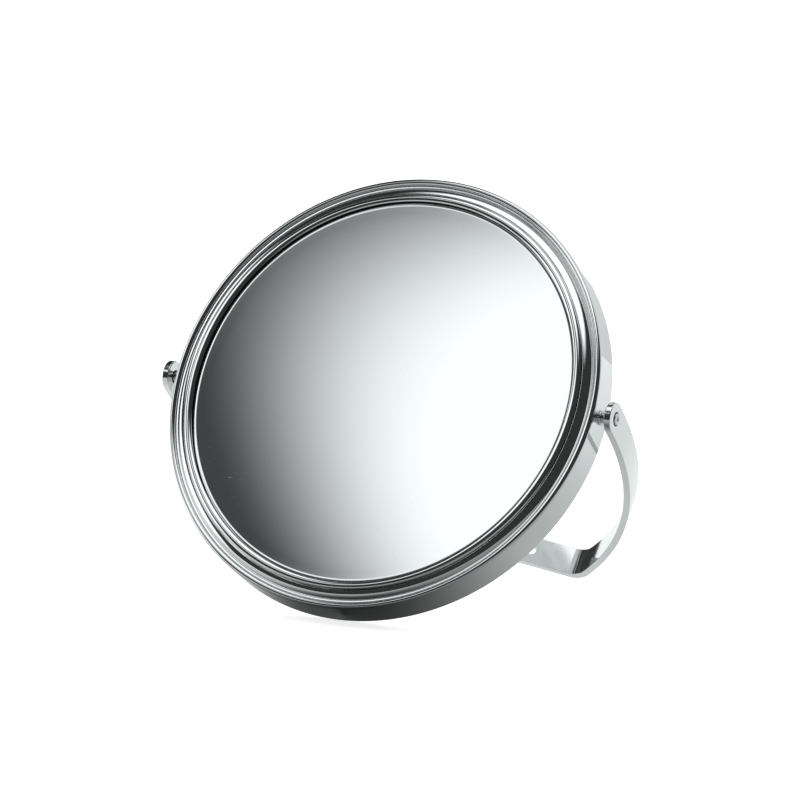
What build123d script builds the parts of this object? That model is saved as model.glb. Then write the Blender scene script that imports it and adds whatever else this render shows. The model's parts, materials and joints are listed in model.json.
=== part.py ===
"""Double-sided round shaving mirror on a folding flat-strip stand.

Millimetres, +Z up, front face towards -Y, pivot axis along X.  The origin is on the table under the
middle of the whole outline.  The mirror leans back on its lower rear rim and the stand is swung out
behind it, so the rim and the two corners of the stand are the three points of support.
"""

import os
from math import cos, radians, sin, sqrt, tan

from build123d import *

# Drum
DRUM_R = 85.0  # outside radius of the band
DRUM_DEPTH = 14.4  # hem crest to hem crest
BAND_T = 1.1  # wall of the band
HEM_R = 1.3  # rolled edge of the band
LEAN = 31.0  # degrees that the glass leans back from upright

# Bezels and the rings that hold the glass
BEZEL_OUT_R = 82.35
BEZEL_FACE_OUT_R = 81.6
BEZEL_FACE_IN_R = 78.3
BEZEL_FLOOR = 5.9  # height of its flat margin beside the hem
BEZEL_MID = 7.3  # height of its sloping face half way in
BEZEL_SHOULDER = 7.8  # height of its inner edge
BEZEL_SHEET = 0.8
FLANGE_END = 3.7
RING_OUT_R = 78.1
RING_IN_R = 75.2
RING_FOOT_R = 79.2
RING_CREST = 8.75
RING_SHOULDER = 7.95  # where the rounded top meets the outer wall
RING_LIP = 8.25  # where the rounded top meets the inner wall
RING_SEAT = 7.55
RING_FOOT_TOP = 6.65
RING_FOOT_BOTTOM = 6.0
REST_GAP = 0.05  # between pieces that rest on each other

# Gaskets between the rings and the glass
GASKET_IN_R = 75.5
GASKET_OUT_R = 77.3

# Glass
GLASS_R = 77.4
GLASS_T = 1.8
GLASS_FACE = 7.2  # height of the glass edge above the mid-plane
GLASS_ROOM = 0.4  # space around the edge of the glass
BOWL_R = 1000.0  # radius of curvature of the magnifying face

# Core and pads
CORE_IN_R = 77.7
CORE_SHELF_R = 75.6
CORE_OUT_R = 83.7
CORE_TOP = 3.6
SHELF_TOP = 5.1
FOAM_IN_R = 60.0
FOAM_OUT_R = 75.0
FOAM_IN_TOP = 4.1
FOAM_OUT_TOP = 5.1
FELT_R = 55.0
FELT_T = 0.45

# Pivots, along X
STEM_R = 1.5
JOURNAL_R = 2.1
PIN_IN_X = 79.0
PIN_PROUD = 0.4  # pin end beyond the ear
PIN_CHAMFER = 0.3
DISH_R = 1.3  # hollow in the pin end
DISH_DEPTH = 0.5
BUSH_R = 2.6
INSERT_R = 2.5
INSERT_IN_X = 78.6
COLLAR_R = 2.8
COLLAR_W = 1.0
COLLAR_CROWN_X = 0.45  # distance of the widest place from the band
COLLAR_FOOT_R = 2.6
COLLAR_END_R = 2.3
RUN_FIT = 0.05  # radial clearance of a turning fit
SLIP = 0.02  # radial clearance of a fixed fit

# Stand, a flat strip bent to a U in one plane
STRIP_W = 11.6
STRIP_T = 2.6
STAND_R = 91.1  # half width across the outside of the ears
STAND_SWING = 77.6  # degrees between the glass plane and the stand plane
EAR_TOP = 6.0  # ear end above the pivot axis
EAR_END_R = 5.6
EDGE_R = 0.4
SIDE_R = 140.0  # outside radius of each curved side
SIDE_TURN = 44.8  # degrees that a side turns inwards
CORNER_R = 9.0  # outside radius of each corner
ARCH_SLOPE = 18.5  # degrees that the foot of the stand rises towards the middle
ARCH_R = 60.0  # radius of the arch at its middle
SCREW_HOLE_R = 2.0
SCREW_HOLE_X = 26.0

CUT_PAST = 1.0  # how far a cut runs past the metal
TOLERANCE = 0.01  # for telling edges apart by length

lean = radians(LEAN)
tip = radians(STAND_SWING - LEAN)  # stand plane from the vertical
slope = radians(ARCH_SLOPE)
turn = radians(SIDE_TURN)

# The lower rear hem touches the table, which sets the height of the pivot axis.
hem_mid_r = DRUM_R - HEM_R
hem_mid_w = DRUM_DEPTH / 2 - HEM_R
pivot_z = hem_mid_r * cos(lean) + hem_mid_w * sin(lean) + HEM_R

# The corners of the stand touch it too, which sets how far the strip goes from the axis.
edge_mid = STRIP_W / 2 - EDGE_R
foot = (pivot_z - EDGE_R - edge_mid * sin(tip)) / cos(tip) + EDGE_R

# The outline is centred on the origin from front to back.
front_reach = hem_mid_r * sin(lean) + hem_mid_w * cos(lean) + HEM_R
back_reach = (foot - EDGE_R) * sin(tip) + edge_mid * cos(tip) + EDGE_R
pivot = (0, (front_reach - back_reach) / 2, pivot_z)

front_dir = (0, -cos(lean), sin(lean))
drum_axis = Axis(origin=pivot, direction=front_dir)
drum_plane = Plane(origin=pivot, x_dir=(1, 0, 0), z_dir=front_dir)
section_plane = Plane(origin=pivot, x_dir=(1, 0, 0), z_dir=(0, -sin(lean), -cos(lean)))
stand_plane = Plane(origin=pivot, x_dir=(1, 0, 0), z_dir=(0, cos(tip), sin(tip)))
cross_plane = Plane(origin=pivot, x_dir=(0, 1, 0), z_dir=(1, 0, 0))
pivot_axis = Axis(origin=pivot, direction=(1, 0, 0))

FACES = {"front": 1, "rear": -1}
SIDES = {"right": 1, "left": -1}

os.makedirs("parts", exist_ok=True)


def save(name, part):
    part.label = name
    export_step(part, f"parts/{name}.step")


def bowl(radius, edge_height):
    """Height of a concave face over the mid-plane, for a face that ends at GLASS_R."""
    return edge_height + sqrt(BOWL_R**2 - GLASS_R**2) - sqrt(BOWL_R**2 - radius**2)


# Band: a rolled strip with a round hem at each edge and a hole at each pivot.
with BuildPart() as band:
    with BuildSketch(section_plane):
        with Locations((DRUM_R - BAND_T / 2, 0)):
            Rectangle(BAND_T, 2 * hem_mid_w)
        with Locations((hem_mid_r, hem_mid_w), (hem_mid_r, -hem_mid_w)):
            Circle(HEM_R)
    revolve(axis=drum_axis)
    with BuildSketch(cross_plane):
        Circle(STEM_R + SLIP)
    extrude(amount=DRUM_R + CUT_PAST, both=True, mode=Mode.SUBTRACT)
save("drum_band", band.part)

# One set per face: bezel, glass-retaining ring and gasket.
face_mid_r = (BEZEL_FACE_OUT_R + BEZEL_FACE_IN_R) / 2
under = BEZEL_FLOOR - BEZEL_SHEET
for face, s in FACES.items():
    with BuildPart() as bezel:
        with BuildSketch(section_plane):
            with BuildLine():
                Polyline(
                    (BEZEL_OUT_R - BEZEL_SHEET, s * under),
                    (BEZEL_OUT_R - BEZEL_SHEET, s * FLANGE_END),
                    (BEZEL_OUT_R, s * FLANGE_END),
                    (BEZEL_OUT_R, s * BEZEL_FLOOR),
                    (BEZEL_FACE_OUT_R, s * BEZEL_FLOOR),
                )
                ThreePointArc(
                    (BEZEL_FACE_OUT_R, s * BEZEL_FLOOR),
                    (face_mid_r, s * BEZEL_MID),
                    (BEZEL_FACE_IN_R, s * BEZEL_SHOULDER),
                )
                Line(
                    (BEZEL_FACE_IN_R, s * BEZEL_SHOULDER),
                    (BEZEL_FACE_IN_R, s * (BEZEL_SHOULDER - BEZEL_SHEET)),
                )
                ThreePointArc(
                    (BEZEL_FACE_IN_R, s * (BEZEL_SHOULDER - BEZEL_SHEET)),
                    (face_mid_r, s * (BEZEL_MID - BEZEL_SHEET)),
                    (BEZEL_FACE_OUT_R - BEZEL_SHEET / 2, s * under),
                )
                Line(
                    (BEZEL_FACE_OUT_R - BEZEL_SHEET / 2, s * under),
                    (BEZEL_OUT_R - BEZEL_SHEET, s * under),
                )
            make_face()
        revolve(axis=drum_axis)
    save(f"{face}_bezel", bezel.part)

    with BuildPart() as ring:
        with BuildSketch(section_plane):
            with BuildLine():
                Polyline(
                    (RING_IN_R, s * RING_LIP),
                    (RING_IN_R, s * RING_SEAT),
                    (GLASS_R + GLASS_ROOM, s * RING_SEAT),
                    (GLASS_R + GLASS_ROOM, s * RING_FOOT_BOTTOM),
                    (RING_FOOT_R, s * RING_FOOT_BOTTOM),
                    (RING_FOOT_R, s * RING_FOOT_TOP),
                    (RING_OUT_R, s * RING_FOOT_TOP),
                    (RING_OUT_R, s * RING_SHOULDER),
                )
                ThreePointArc(
                    (RING_OUT_R, s * RING_SHOULDER),
                    ((RING_OUT_R + RING_IN_R) / 2, s * RING_CREST),
                    (RING_IN_R, s * RING_LIP),
                )
            make_face()
        revolve(axis=drum_axis)
    save(f"{face}_retaining_ring", ring.part)

    with BuildPart() as gasket:
        with BuildSketch(section_plane):
            gasket_mid_r = (GASKET_IN_R + GASKET_OUT_R) / 2
            with Locations((gasket_mid_r, s * (GLASS_FACE + RING_SEAT) / 2)):
                Rectangle(GASKET_OUT_R - GASKET_IN_R, RING_SEAT - GLASS_FACE)
        revolve(axis=drum_axis)
    save(f"{face}_glass_gasket", gasket.part)

# Magnifying glass: both faces are parts of a wide bowl.
back_edge = GLASS_FACE - GLASS_T
with BuildPart() as front_glass:
    with BuildSketch(section_plane):
        with BuildLine():
            ThreePointArc(
                (0, bowl(0, GLASS_FACE)),
                (GLASS_R / 2, bowl(GLASS_R / 2, GLASS_FACE)),
                (GLASS_R, GLASS_FACE),
            )
            Line((GLASS_R, GLASS_FACE), (GLASS_R, back_edge))
            ThreePointArc(
                (GLASS_R, back_edge),
                (GLASS_R / 2, bowl(GLASS_R / 2, back_edge)),
                (0, bowl(0, back_edge)),
            )
            Line((0, bowl(0, back_edge)), (0, bowl(0, GLASS_FACE)))
        make_face()
    revolve(axis=drum_axis)
save("front_mirror_glass", front_glass.part)

with BuildPart() as rear_glass:
    with BuildSketch(drum_plane.offset(-GLASS_FACE)):
        Circle(GLASS_R)
    extrude(amount=GLASS_T)
save("rear_mirror_glass", rear_glass.part)

# Core: a moulded ring that carries both glasses and the threaded inserts.
with BuildPart() as core:
    with BuildSketch(section_plane):
        with Locations(((CORE_IN_R + CORE_OUT_R) / 2, 0)):
            Rectangle(CORE_OUT_R - CORE_IN_R, 2 * CORE_TOP)
        with Locations(((CORE_SHELF_R + CORE_IN_R) / 2, 0)):
            Rectangle(CORE_IN_R - CORE_SHELF_R, 2 * SHELF_TOP)
    revolve(axis=drum_axis)
    with BuildSketch(cross_plane):
        Circle(INSERT_R + SLIP)
    extrude(amount=DRUM_R, both=True, mode=Mode.SUBTRACT)
save("core_ring", core.part)

# Foam that backs the magnifying glass near its rim; its top follows the slope of the glass.
pad_floor = GLASS_T - GLASS_FACE + REST_GAP
with BuildPart() as foam:
    with BuildSketch(section_plane):
        with BuildLine():
            Polyline(
                (FOAM_IN_R, pad_floor),
                (FOAM_OUT_R, pad_floor),
                (FOAM_OUT_R, FOAM_OUT_TOP),
                (FOAM_IN_R, FOAM_IN_TOP),
                close=True,
            )
        make_face()
    revolve(axis=drum_axis)
save("foam_ring", foam.part)

with BuildPart() as felt:
    with BuildSketch(drum_plane.offset(pad_floor)):
        Circle(FELT_R)
    extrude(amount=FELT_T)
save("felt_disc", felt.part)

# Pivots: threaded insert, collar, stepped pin and ear bush on each side.
bush_bore = JOURNAL_R + RUN_FIT
stem_bore = STEM_R + SLIP
collar_end = DRUM_R + COLLAR_W
pin_end = STAND_R + PIN_PROUD
dish_floor = pin_end - DISH_DEPTH
# The hollow in the pin end is part of a sphere; dish_rise is its height half way out.
dish_sphere = (DISH_R**2 + DISH_DEPTH**2) / (2 * DISH_DEPTH)
dish_rise = dish_sphere - sqrt(dish_sphere**2 - (DISH_R / 2) ** 2)
for side, s in SIDES.items():
    with BuildPart() as insert:
        with BuildSketch(section_plane):
            with Locations((s * (INSERT_IN_X + CORE_OUT_R) / 2, (INSERT_R + stem_bore) / 2)):
                Rectangle(CORE_OUT_R - INSERT_IN_X, INSERT_R - stem_bore)
        revolve(axis=pivot_axis)
    save(f"{side}_pivot_insert", insert.part)

    with BuildPart() as collar:
        with BuildSketch(section_plane):
            with BuildLine():
                Polyline(
                    (s * collar_end, COLLAR_END_R),
                    (s * collar_end, stem_bore),
                    (s * DRUM_R, stem_bore),
                    (s * DRUM_R, COLLAR_FOOT_R),
                )
                ThreePointArc(
                    (s * DRUM_R, COLLAR_FOOT_R),
                    (s * (DRUM_R + COLLAR_CROWN_X), COLLAR_R),
                    (s * collar_end, COLLAR_END_R),
                )
            make_face()
        revolve(axis=pivot_axis)
    save(f"{side}_pivot_collar", collar.part)

    with BuildPart() as pin:
        with BuildSketch(section_plane):
            with BuildLine():
                Polyline(
                    (s * dish_floor, 0),
                    (s * PIN_IN_X, 0),
                    (s * PIN_IN_X, STEM_R),
                    (s * collar_end, STEM_R),
                    (s * collar_end, JOURNAL_R),
                    (s * (pin_end - PIN_CHAMFER), JOURNAL_R),
                    (s * pin_end, JOURNAL_R - PIN_CHAMFER),
                    (s * pin_end, DISH_R),
                )
                ThreePointArc(
                    (s * pin_end, DISH_R),
                    (s * (dish_floor + dish_rise), DISH_R / 2),
                    (s * dish_floor, 0),
                )
            make_face()
        revolve(axis=pivot_axis)
    save(f"{side}_pivot_pin", pin.part)

    with BuildPart() as bush:
        with BuildSketch(section_plane):
            with Locations((s * (STAND_R - STRIP_T / 2), (BUSH_R + bush_bore) / 2)):
                Rectangle(STRIP_T, BUSH_R - bush_bore)
        revolve(axis=pivot_axis)
    save(f"{side}_ear_bush", bush.part)

# Stand: straight at the ear, then a wide arc, a tight corner and a foot that arches up to its middle.
side_start = foot - CORNER_R - (SIDE_R - CORNER_R) * sin(turn)
side_centre = (STAND_R - SIDE_R, side_start)
corner_centre = (
    side_centre[0] + (SIDE_R - CORNER_R) * cos(turn),
    side_centre[1] + (SIDE_R - CORNER_R) * sin(turn),
)
# The arch is tangent to both straight runs of the foot and centred on the middle of the stand.
run_start = (corner_centre[0] - CORNER_R * sin(slope), corner_centre[1] + CORNER_R * cos(slope))
arch_x = ARCH_R * sin(slope)
arch_y = run_start[1] - (run_start[0] - arch_x) * tan(slope)
arch_centre = (0, arch_y + ARCH_R * cos(slope))
screw_y = run_start[1] - (run_start[0] - SCREW_HOLE_X) * tan(slope)


def strip_side(inset):
    """Right half of a face of the strip, inset from the outer face towards the drum."""
    r_side = SIDE_R - inset
    r_corner = CORNER_R - inset
    r_arch = ARCH_R + inset
    side_end = (side_centre[0] + r_side * cos(turn), side_centre[1] + r_side * sin(turn))
    corner_end = (
        corner_centre[0] - r_corner * sin(slope),
        corner_centre[1] + r_corner * cos(slope),
    )
    arch_end = (arch_centre[0] + r_arch * sin(slope), arch_centre[1] - r_arch * cos(slope))
    ear_end = (STAND_R - inset, -EAR_TOP)
    ear_root = (STAND_R - inset, side_start)
    middle = (0, arch_centre[1] - r_arch)
    Line(ear_end, ear_root)
    TangentArc(ear_root, side_end, tangent=(0, 1))
    TangentArc(side_end, corner_end, tangent=(-sin(turn), cos(turn)))
    Line(corner_end, arch_end)
    TangentArc(arch_end, middle, tangent=(-cos(slope), -sin(slope)))
    return ear_end, middle


with BuildPart() as stand:
    with BuildSketch(stand_plane):
        with BuildLine():
            outer_ear, outer_middle = strip_side(0)
            inner_ear, inner_middle = strip_side(STRIP_T)
            Line(outer_ear, inner_ear)
            Line(outer_middle, inner_middle)
        make_face()
        mirror(about=Plane.YZ)
    extrude(amount=STRIP_W / 2, both=True)
    ear_ends = stand.edges().filter_by(Axis.X).filter_by(lambda e: abs(e.length - STRIP_T) < TOLERANCE)
    fillet(ear_ends, radius=EAR_END_R)
    long_edges = stand.edges().filter_by(lambda e: e.length > TOLERANCE)
    fillet(long_edges, radius=EDGE_R)
    with BuildSketch(cross_plane):
        Circle(BUSH_R + SLIP)
    extrude(amount=STAND_R + CUT_PAST, both=True, mode=Mode.SUBTRACT)
    # A pair of screw holes, square to the sloping foot.
    for s in SIDES.values():
        hole_point = stand_plane.from_local_coords((s * SCREW_HOLE_X, screw_y, 0))
        hole_dir = stand_plane.from_local_coords((s * sin(slope), -cos(slope), 0)) - Vector(*pivot)
        with BuildSketch(Plane(origin=hole_point, z_dir=hole_dir)):
            Circle(SCREW_HOLE_R)
        extrude(amount=STRIP_T + CUT_PAST, both=True, mode=Mode.SUBTRACT)
save("stand_bail", stand.part)

print("pivot", [round(v, 3) for v in pivot], "foot", round(foot, 2), "side start", round(side_start, 2))
print("inner face at the middle of the foot", round(inner_middle[1], 2), "over", DRUM_R)
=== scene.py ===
import json
import math

import bpy
import numpy as np
from mathutils import Matrix, Vector


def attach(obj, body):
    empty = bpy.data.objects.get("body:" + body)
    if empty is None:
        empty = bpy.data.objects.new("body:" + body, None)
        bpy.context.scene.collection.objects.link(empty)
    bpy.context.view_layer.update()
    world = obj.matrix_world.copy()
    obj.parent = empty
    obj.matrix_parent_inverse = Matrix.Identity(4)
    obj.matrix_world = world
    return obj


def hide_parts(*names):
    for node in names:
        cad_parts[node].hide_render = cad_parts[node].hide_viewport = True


# Round double-sided shaving mirror on a folding flat-strip stand.
# Lengths of the object are millimetres here, as on its drawing, and are turned into metres by MM.
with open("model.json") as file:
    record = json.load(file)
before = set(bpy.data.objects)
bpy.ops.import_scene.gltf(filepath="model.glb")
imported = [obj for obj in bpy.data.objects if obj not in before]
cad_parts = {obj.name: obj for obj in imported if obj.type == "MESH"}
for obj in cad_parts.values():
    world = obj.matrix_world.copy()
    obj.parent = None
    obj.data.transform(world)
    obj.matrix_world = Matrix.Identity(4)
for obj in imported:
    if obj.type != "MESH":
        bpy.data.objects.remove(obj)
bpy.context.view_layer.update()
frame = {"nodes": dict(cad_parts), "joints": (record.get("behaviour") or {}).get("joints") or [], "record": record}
MM = 0.001

# ---------------------------------------------------------------- sizes, the same as the frame's
LEAN = math.radians(31.0)  # the glass leans back from upright
TIP = math.radians(46.6)  # the stand leans from the vertical

HEM_R = 1.3
BAND_T = 1.1
DRUM_R = 85.0
HEM_MID_R = 83.7
HEM_MID_W = 5.9

BEZEL_OUT_R = 82.35
FACE_OUT_R = 81.6
FACE_IN_R = 78.3
BEZEL_FLOOR = 5.9
BEZEL_MID = 7.3
BEZEL_SHOULDER = 7.8
BEZEL_SHEET = 0.8
FLANGE_END = 3.7
BEZEL_EDGE_R = 0.28
SHOULDER_R = 0.2  # rounding of the bezel's inner edge

RING_OUT_R = 78.1
RING_IN_R = 75.2
RING_FOOT_R = 79.2
RING_CREST = 8.75
RING_SHOULDER = 7.95
RING_LIP = 8.25
RING_SEAT = 7.55
RING_FOOT_BOTTOM = 6.0
RING_FOOT_TOP = 6.65
RING_BORE_R = 77.8
RING_EDGE_R = 0.12

GLASS_R = 77.4
GLASS_T = 1.8
GLASS_FACE = 7.2
GLASS_SEAM = 0.3  # ground chamfer on the edge of the glass
BEVEL_IN_R = 73.6  # the polished bevel of the magnifying face starts here
BEVEL_R = 6.0  # radius of its rounding
BEVEL_TURN = math.radians(15.0)
BEVEL_CLEAR = 0.1  # the hollow face stops this far short of the bevel
BOWL_R = 1000.0

STEM_R = 1.5
SLIP = 0.02
JOURNAL_R = 2.1
RUN_FIT = 0.05
BUSH_R = 2.6
PIN_IN_X = 79.0
PIN_END_X = 91.5
PIN_CHAMFER = 0.3
DISH_R = 1.3
DISH_DEPTH = 0.5
COLLAR_END_X = 86.0
COLLAR_CROWN_X = 85.45
COLLAR_R = 2.8
COLLAR_FOOT_R = 2.6
COLLAR_END_R = 2.3

STRIP_W = 11.6
STRIP_T = 2.6
STAND_R = 91.1
EAR_TOP = 6.0
EAR_END_R = 5.6
EDGE_R = 0.4
SIDE_R = 140.0
SIDE_TURN = math.radians(44.8)
CORNER_R = 9.0
SLOPE = math.radians(18.5)
ARCH_R = 60.0
FOOT = 104.84  # pivot axis to the outer face at the lowest point of the stand
SCREW_HOLE_R = 2.0
SCREW_HOLE_X = 26.0

pivot = np.array(frame["joints"][0]["pos_m"]) / MM
AXIS_X = np.array([1.0, 0.0, 0.0])
DRUM_DIR = np.array([0.0, -math.cos(LEAN), math.sin(LEAN)])
STAND_DOWN = np.array([0.0, math.sin(TIP), -math.cos(TIP)])
STAND_ACROSS = np.array([0.0, math.cos(TIP), math.sin(TIP)])


# ---------------------------------------------------------------- mesh building
SAME_POINT = 1e-6  # points closer than this are one point


class Builder:
    """Collects shared vertices, and faces with their own normal at each corner."""

    def __init__(self):
        self.points = []
        self.faces = []
        self.normals = []

    def vert(self, p):
        self.points.append(p)
        return len(self.points) - 1

    def face(self, ids, normals):
        """A face whose corners repeat a vertex loses the repeated corner."""
        kept = [i for i in range(len(ids)) if ids[i] != ids[i - 1]]
        if len(kept) > 2:
            self.faces.append([ids[i] for i in kept])
            self.normals.append([normals[i] for i in kept])

    def piece(self, name, material, body, slot, node):
        co = np.array(self.points) * MM
        volume = 0.0
        for f in self.faces:
            for a, b in zip(f[1:-1], f[2:]):
                volume += np.dot(co[f[0]], np.cross(co[a], co[b]))
        faces, normals = self.faces, self.normals
        if volume < 0:
            faces = [f[::-1] for f in faces]
            normals = [n[::-1] for n in normals]
        mesh = bpy.data.meshes.new(name)
        mesh.from_pydata(co.tolist(), [], faces)
        mesh.polygons.foreach_set("use_smooth", [True] * len(faces))
        mesh.normals_split_custom_set([tuple(n) for face in normals for n in face])
        mesh.materials.append(material)
        obj = bpy.data.objects.new(name, mesh)
        bpy.context.scene.collection.objects.link(obj)
        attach(obj, body)
        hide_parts(node)


def straight(p, q):
    """A straight run of an outline, with the normal on its right."""
    p, q = np.array(p, float), np.array(q, float)
    d = (q - p) / np.linalg.norm(q - p)
    n = np.array([d[1], -d[0]])
    return [(p, n), (q, n)]


def run(p, q, stops):
    """A straight run that also has a point at each of the given second coordinates."""
    normal = straight(p, q)[0][1]
    points = [p] + [(p[0], s) for s in stops] + [q]
    return [(np.array(at, float), normal) for at in points]


def arc(centre, radius, start, end, steps):
    """An arc of an outline; angles in degrees, turning left if end > start."""
    out = []
    side = 1.0 if end > start else -1.0
    for k in range(steps + 1):
        a = math.radians(start + (end - start) * k / steps)
        d = np.array([math.cos(a), math.sin(a)])
        out.append((np.array(centre) + radius * d, side * d))
    return out


def arc_through(p, m, q, steps):
    """An arc of an outline through three points."""
    p, m, q = (np.array(v, float) for v in (p, m, q))
    a = np.array([m - p, q - m])
    b = np.array([(m @ m - p @ p) / 2, (q @ q - m @ m) / 2])
    c = np.linalg.solve(a, b)
    a0, a1 = (math.degrees(math.atan2(*(v - c)[::-1])) for v in (p, q))
    turns_left = (m - p)[0] * (q - m)[1] - (m - p)[1] * (q - m)[0] > 0
    while turns_left and a1 < a0:
        a1 += 360
    while not turns_left and a1 > a0:
        a1 -= 360
    return arc(c, np.linalg.norm(p - c), a0, a1, steps)


def rounded(before, corner, after, radius, steps=4):
    """A small fillet at a corner, between the directions to two neighbouring points."""
    c = np.array(corner, float)
    u, v = np.array(before, float) - c, np.array(after, float) - c
    u, v = u / np.linalg.norm(u), v / np.linalg.norm(v)
    half = math.acos(np.clip(u @ v, -1, 1)) / 2
    reach = radius / math.tan(half)
    mid = (u + v) / np.linalg.norm(u + v)
    centre = c + mid * radius / math.sin(half)
    return arc_through(c + u * reach, centre - mid * radius, c + v * reach, steps)


def outline(*parts):
    """Joins parts end to end, adding a straight run where one ends away from the next."""
    out = []
    for part in parts:
        if out and np.linalg.norm(out[-1][-1][0] - part[0][0]) > SAME_POINT:
            out.append(straight(out[-1][-1][0], part[0][0]))
        out.append(part)
    return out


def lathe(parts, centre, axis, steps, closed=True, holes=None):
    """Turns an outline of (radius, height) about an axis, leaving out the faces listed in holes.

    Returns the builder and the vertices of each ring, from the start of the outline on.
    """
    axis = np.array(axis, float)
    e1 = AXIS_X if abs(axis[0]) < 0.5 else np.array([0.0, 1.0, 0.0])
    e2 = np.cross(axis, e1)
    rows = [parts[0][0][0]]
    spans = []
    for part in parts:
        for (_, n), (q, m) in zip(part[:-1], part[1:]):
            rows.append(q)
            spans.append((n, m))
    if closed:
        if np.linalg.norm(rows[0] - rows[-1]) < SAME_POINT:
            rows.pop()
        else:
            n = straight(rows[-1], rows[0])[0][1]
            spans.append((n, n))
    b = Builder()
    around = [
        math.cos(2 * math.pi * j / steps) * e1 + math.sin(2 * math.pi * j / steps) * e2
        for j in range(steps)
    ]
    ids = []
    for r, h in rows:
        if r < SAME_POINT:
            ids.append([b.vert(centre + axis * h)] * steps)
        else:
            ids.append([b.vert(centre + axis * h + u * r) for u in around])
    skip = holes or set()
    for k, (n, m) in enumerate(spans):
        k2 = (k + 1) % len(rows)
        for j in range(steps):
            if (k, j) in skip:
                continue
            j2 = (j + 1) % steps
            nj, nj2 = n[0] * around[j] + n[1] * axis, n[0] * around[j2] + n[1] * axis
            mj, mj2 = m[0] * around[j] + m[1] * axis, m[0] * around[j2] + m[1] * axis
            b.face([ids[k][j], ids[k][j2], ids[k2][j2], ids[k2][j]], [nj, nj2, mj2, mj])
    return b, ids


# ---------------------------------------------------------------- node materials
# The colour sockets of a mix node share their names with its other sockets, so they go by number.
COLOUR_A = 6
COLOUR_B = 7
COLOUR_OUT = 2


class Nodes:
    """A node tree with short ways to add and join nodes."""

    def __init__(self, tree):
        self.tree = tree
        tree.nodes.clear()

    def add(self, kind, **values):
        node = self.tree.nodes.new(kind)
        for key, value in values.items():
            setattr(node, key, value)
        return node

    def join(self, source, target):
        self.tree.links.new(source, target)

    def math(self, operation, a, b=None):
        node = self.add("ShaderNodeMath", operation=operation)
        for socket, value in zip(node.inputs, (a, b)):
            if value is None:
                continue
            if isinstance(value, (int, float)):
                socket.default_value = value
            else:
                self.join(value, socket)
        return node.outputs[0]

    def dot(self, vector, direction):
        node = self.add("ShaderNodeVectorMath", operation="DOT_PRODUCT")
        self.join(vector, node.inputs[0])
        node.inputs[1].default_value = direction
        return node.outputs["Value"]

    def ramp(self, value, start, end, low, high, kind="SMOOTHSTEP"):
        node = self.add("ShaderNodeMapRange", interpolation_type=kind)
        self.join(value, node.inputs["Value"])
        for name, number in (("From Min", start), ("From Max", end), ("To Min", low), ("To Max", high)):
            node.inputs[name].default_value = number
        return node.outputs["Result"]

    def noise(self, vector, scale, detail=2.0, stretch=None):
        if stretch:
            mapping = self.add("ShaderNodeMapping")
            self.join(vector, mapping.inputs["Vector"])
            mapping.inputs["Scale"].default_value = stretch
            vector = mapping.outputs["Vector"]
        node = self.add("ShaderNodeTexNoise")
        self.join(vector, node.inputs["Vector"])
        node.inputs["Scale"].default_value = scale
        node.inputs["Detail"].default_value = detail
        return node.outputs["Fac"]

    def degrees(self, operation, a, b=None):
        """An inverse trigonometric function, in degrees."""
        return self.math("MULTIPLY", self.math(operation, a, b), 180 / math.pi)

    def mix(self, factor, a, b):
        node = self.add("ShaderNodeMix", data_type="RGBA")
        self.join(factor, node.inputs["Factor"])
        node.inputs[COLOUR_A].default_value = (*a, 1.0)
        node.inputs[COLOUR_B].default_value = (*b, 1.0)
        return node.outputs[COLOUR_OUT]

    def bump(self, height, strength, distance, under=None):
        node = self.add("ShaderNodeBump")
        node.inputs["Strength"].default_value = strength
        node.inputs["Distance"].default_value = distance
        self.join(height, node.inputs["Height"])
        if under:
            self.join(under, node.inputs["Normal"])
        return node.outputs["Normal"]


def new_material(name):
    mat = bpy.data.materials.new(name)
    mat.use_nodes = True
    nodes = Nodes(mat.node_tree)
    shader = nodes.add("ShaderNodeBsdfPrincipled")
    out = nodes.add("ShaderNodeOutputMaterial")
    nodes.join(shader.outputs["BSDF"], out.inputs["Surface"])
    place = nodes.add("ShaderNodeTexCoord").outputs["Object"]
    return mat, nodes, shader, place


# Noise scales, in features per metre.
TONE_SCALE = 22.0  # slow changes in the colour of plating
SMUDGE_SCALE = 38.0
FINE_SCALE = 900.0
HAIR_SCALE = 260.0
WAVE_SCALE = 60.0
MOTTLE_SCALE = 40.0
SILVER_SCALE = 9.0
HAZE_SCALE = 30.0
SPECK_SCALE = 1500.0

# The part of a noise's range that a ramp takes from nothing to full.
TONE_BAND = (0.3, 0.7)
SMUDGE_BAND = (0.5, 0.72)
FINE_BAND = (0.35, 0.75)
HAIR_BAND = (0.62, 0.72)
HAZE_BAND = (0.5, 0.8)
SPECK_BAND = (0.80, 0.86)

FINE_SHARE = 0.5  # of the smudge's roughness
ALONG_X = (1.0, 14.0, 14.0)  # hairlines that run along X
ACROSS_X = (14.0, 1.0, 1.0)
WAVE_STRENGTH, WAVE_DEPTH = 0.05, 0.0002
HAIR_STRENGTH, HAIR_DEPTH = 0.015, 0.00002
GRAIN_STRENGTH = 0.35
ROUGH_SPREAD = 0.08
SILVER_DARK, SILVER_LIGHT = (0.80, 0.83, 0.84), (0.84, 0.86, 0.87)
HAZE_LEAST, HAZE_MOST = 0.004, 0.03
SPECK_ROUGH = 0.12


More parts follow.
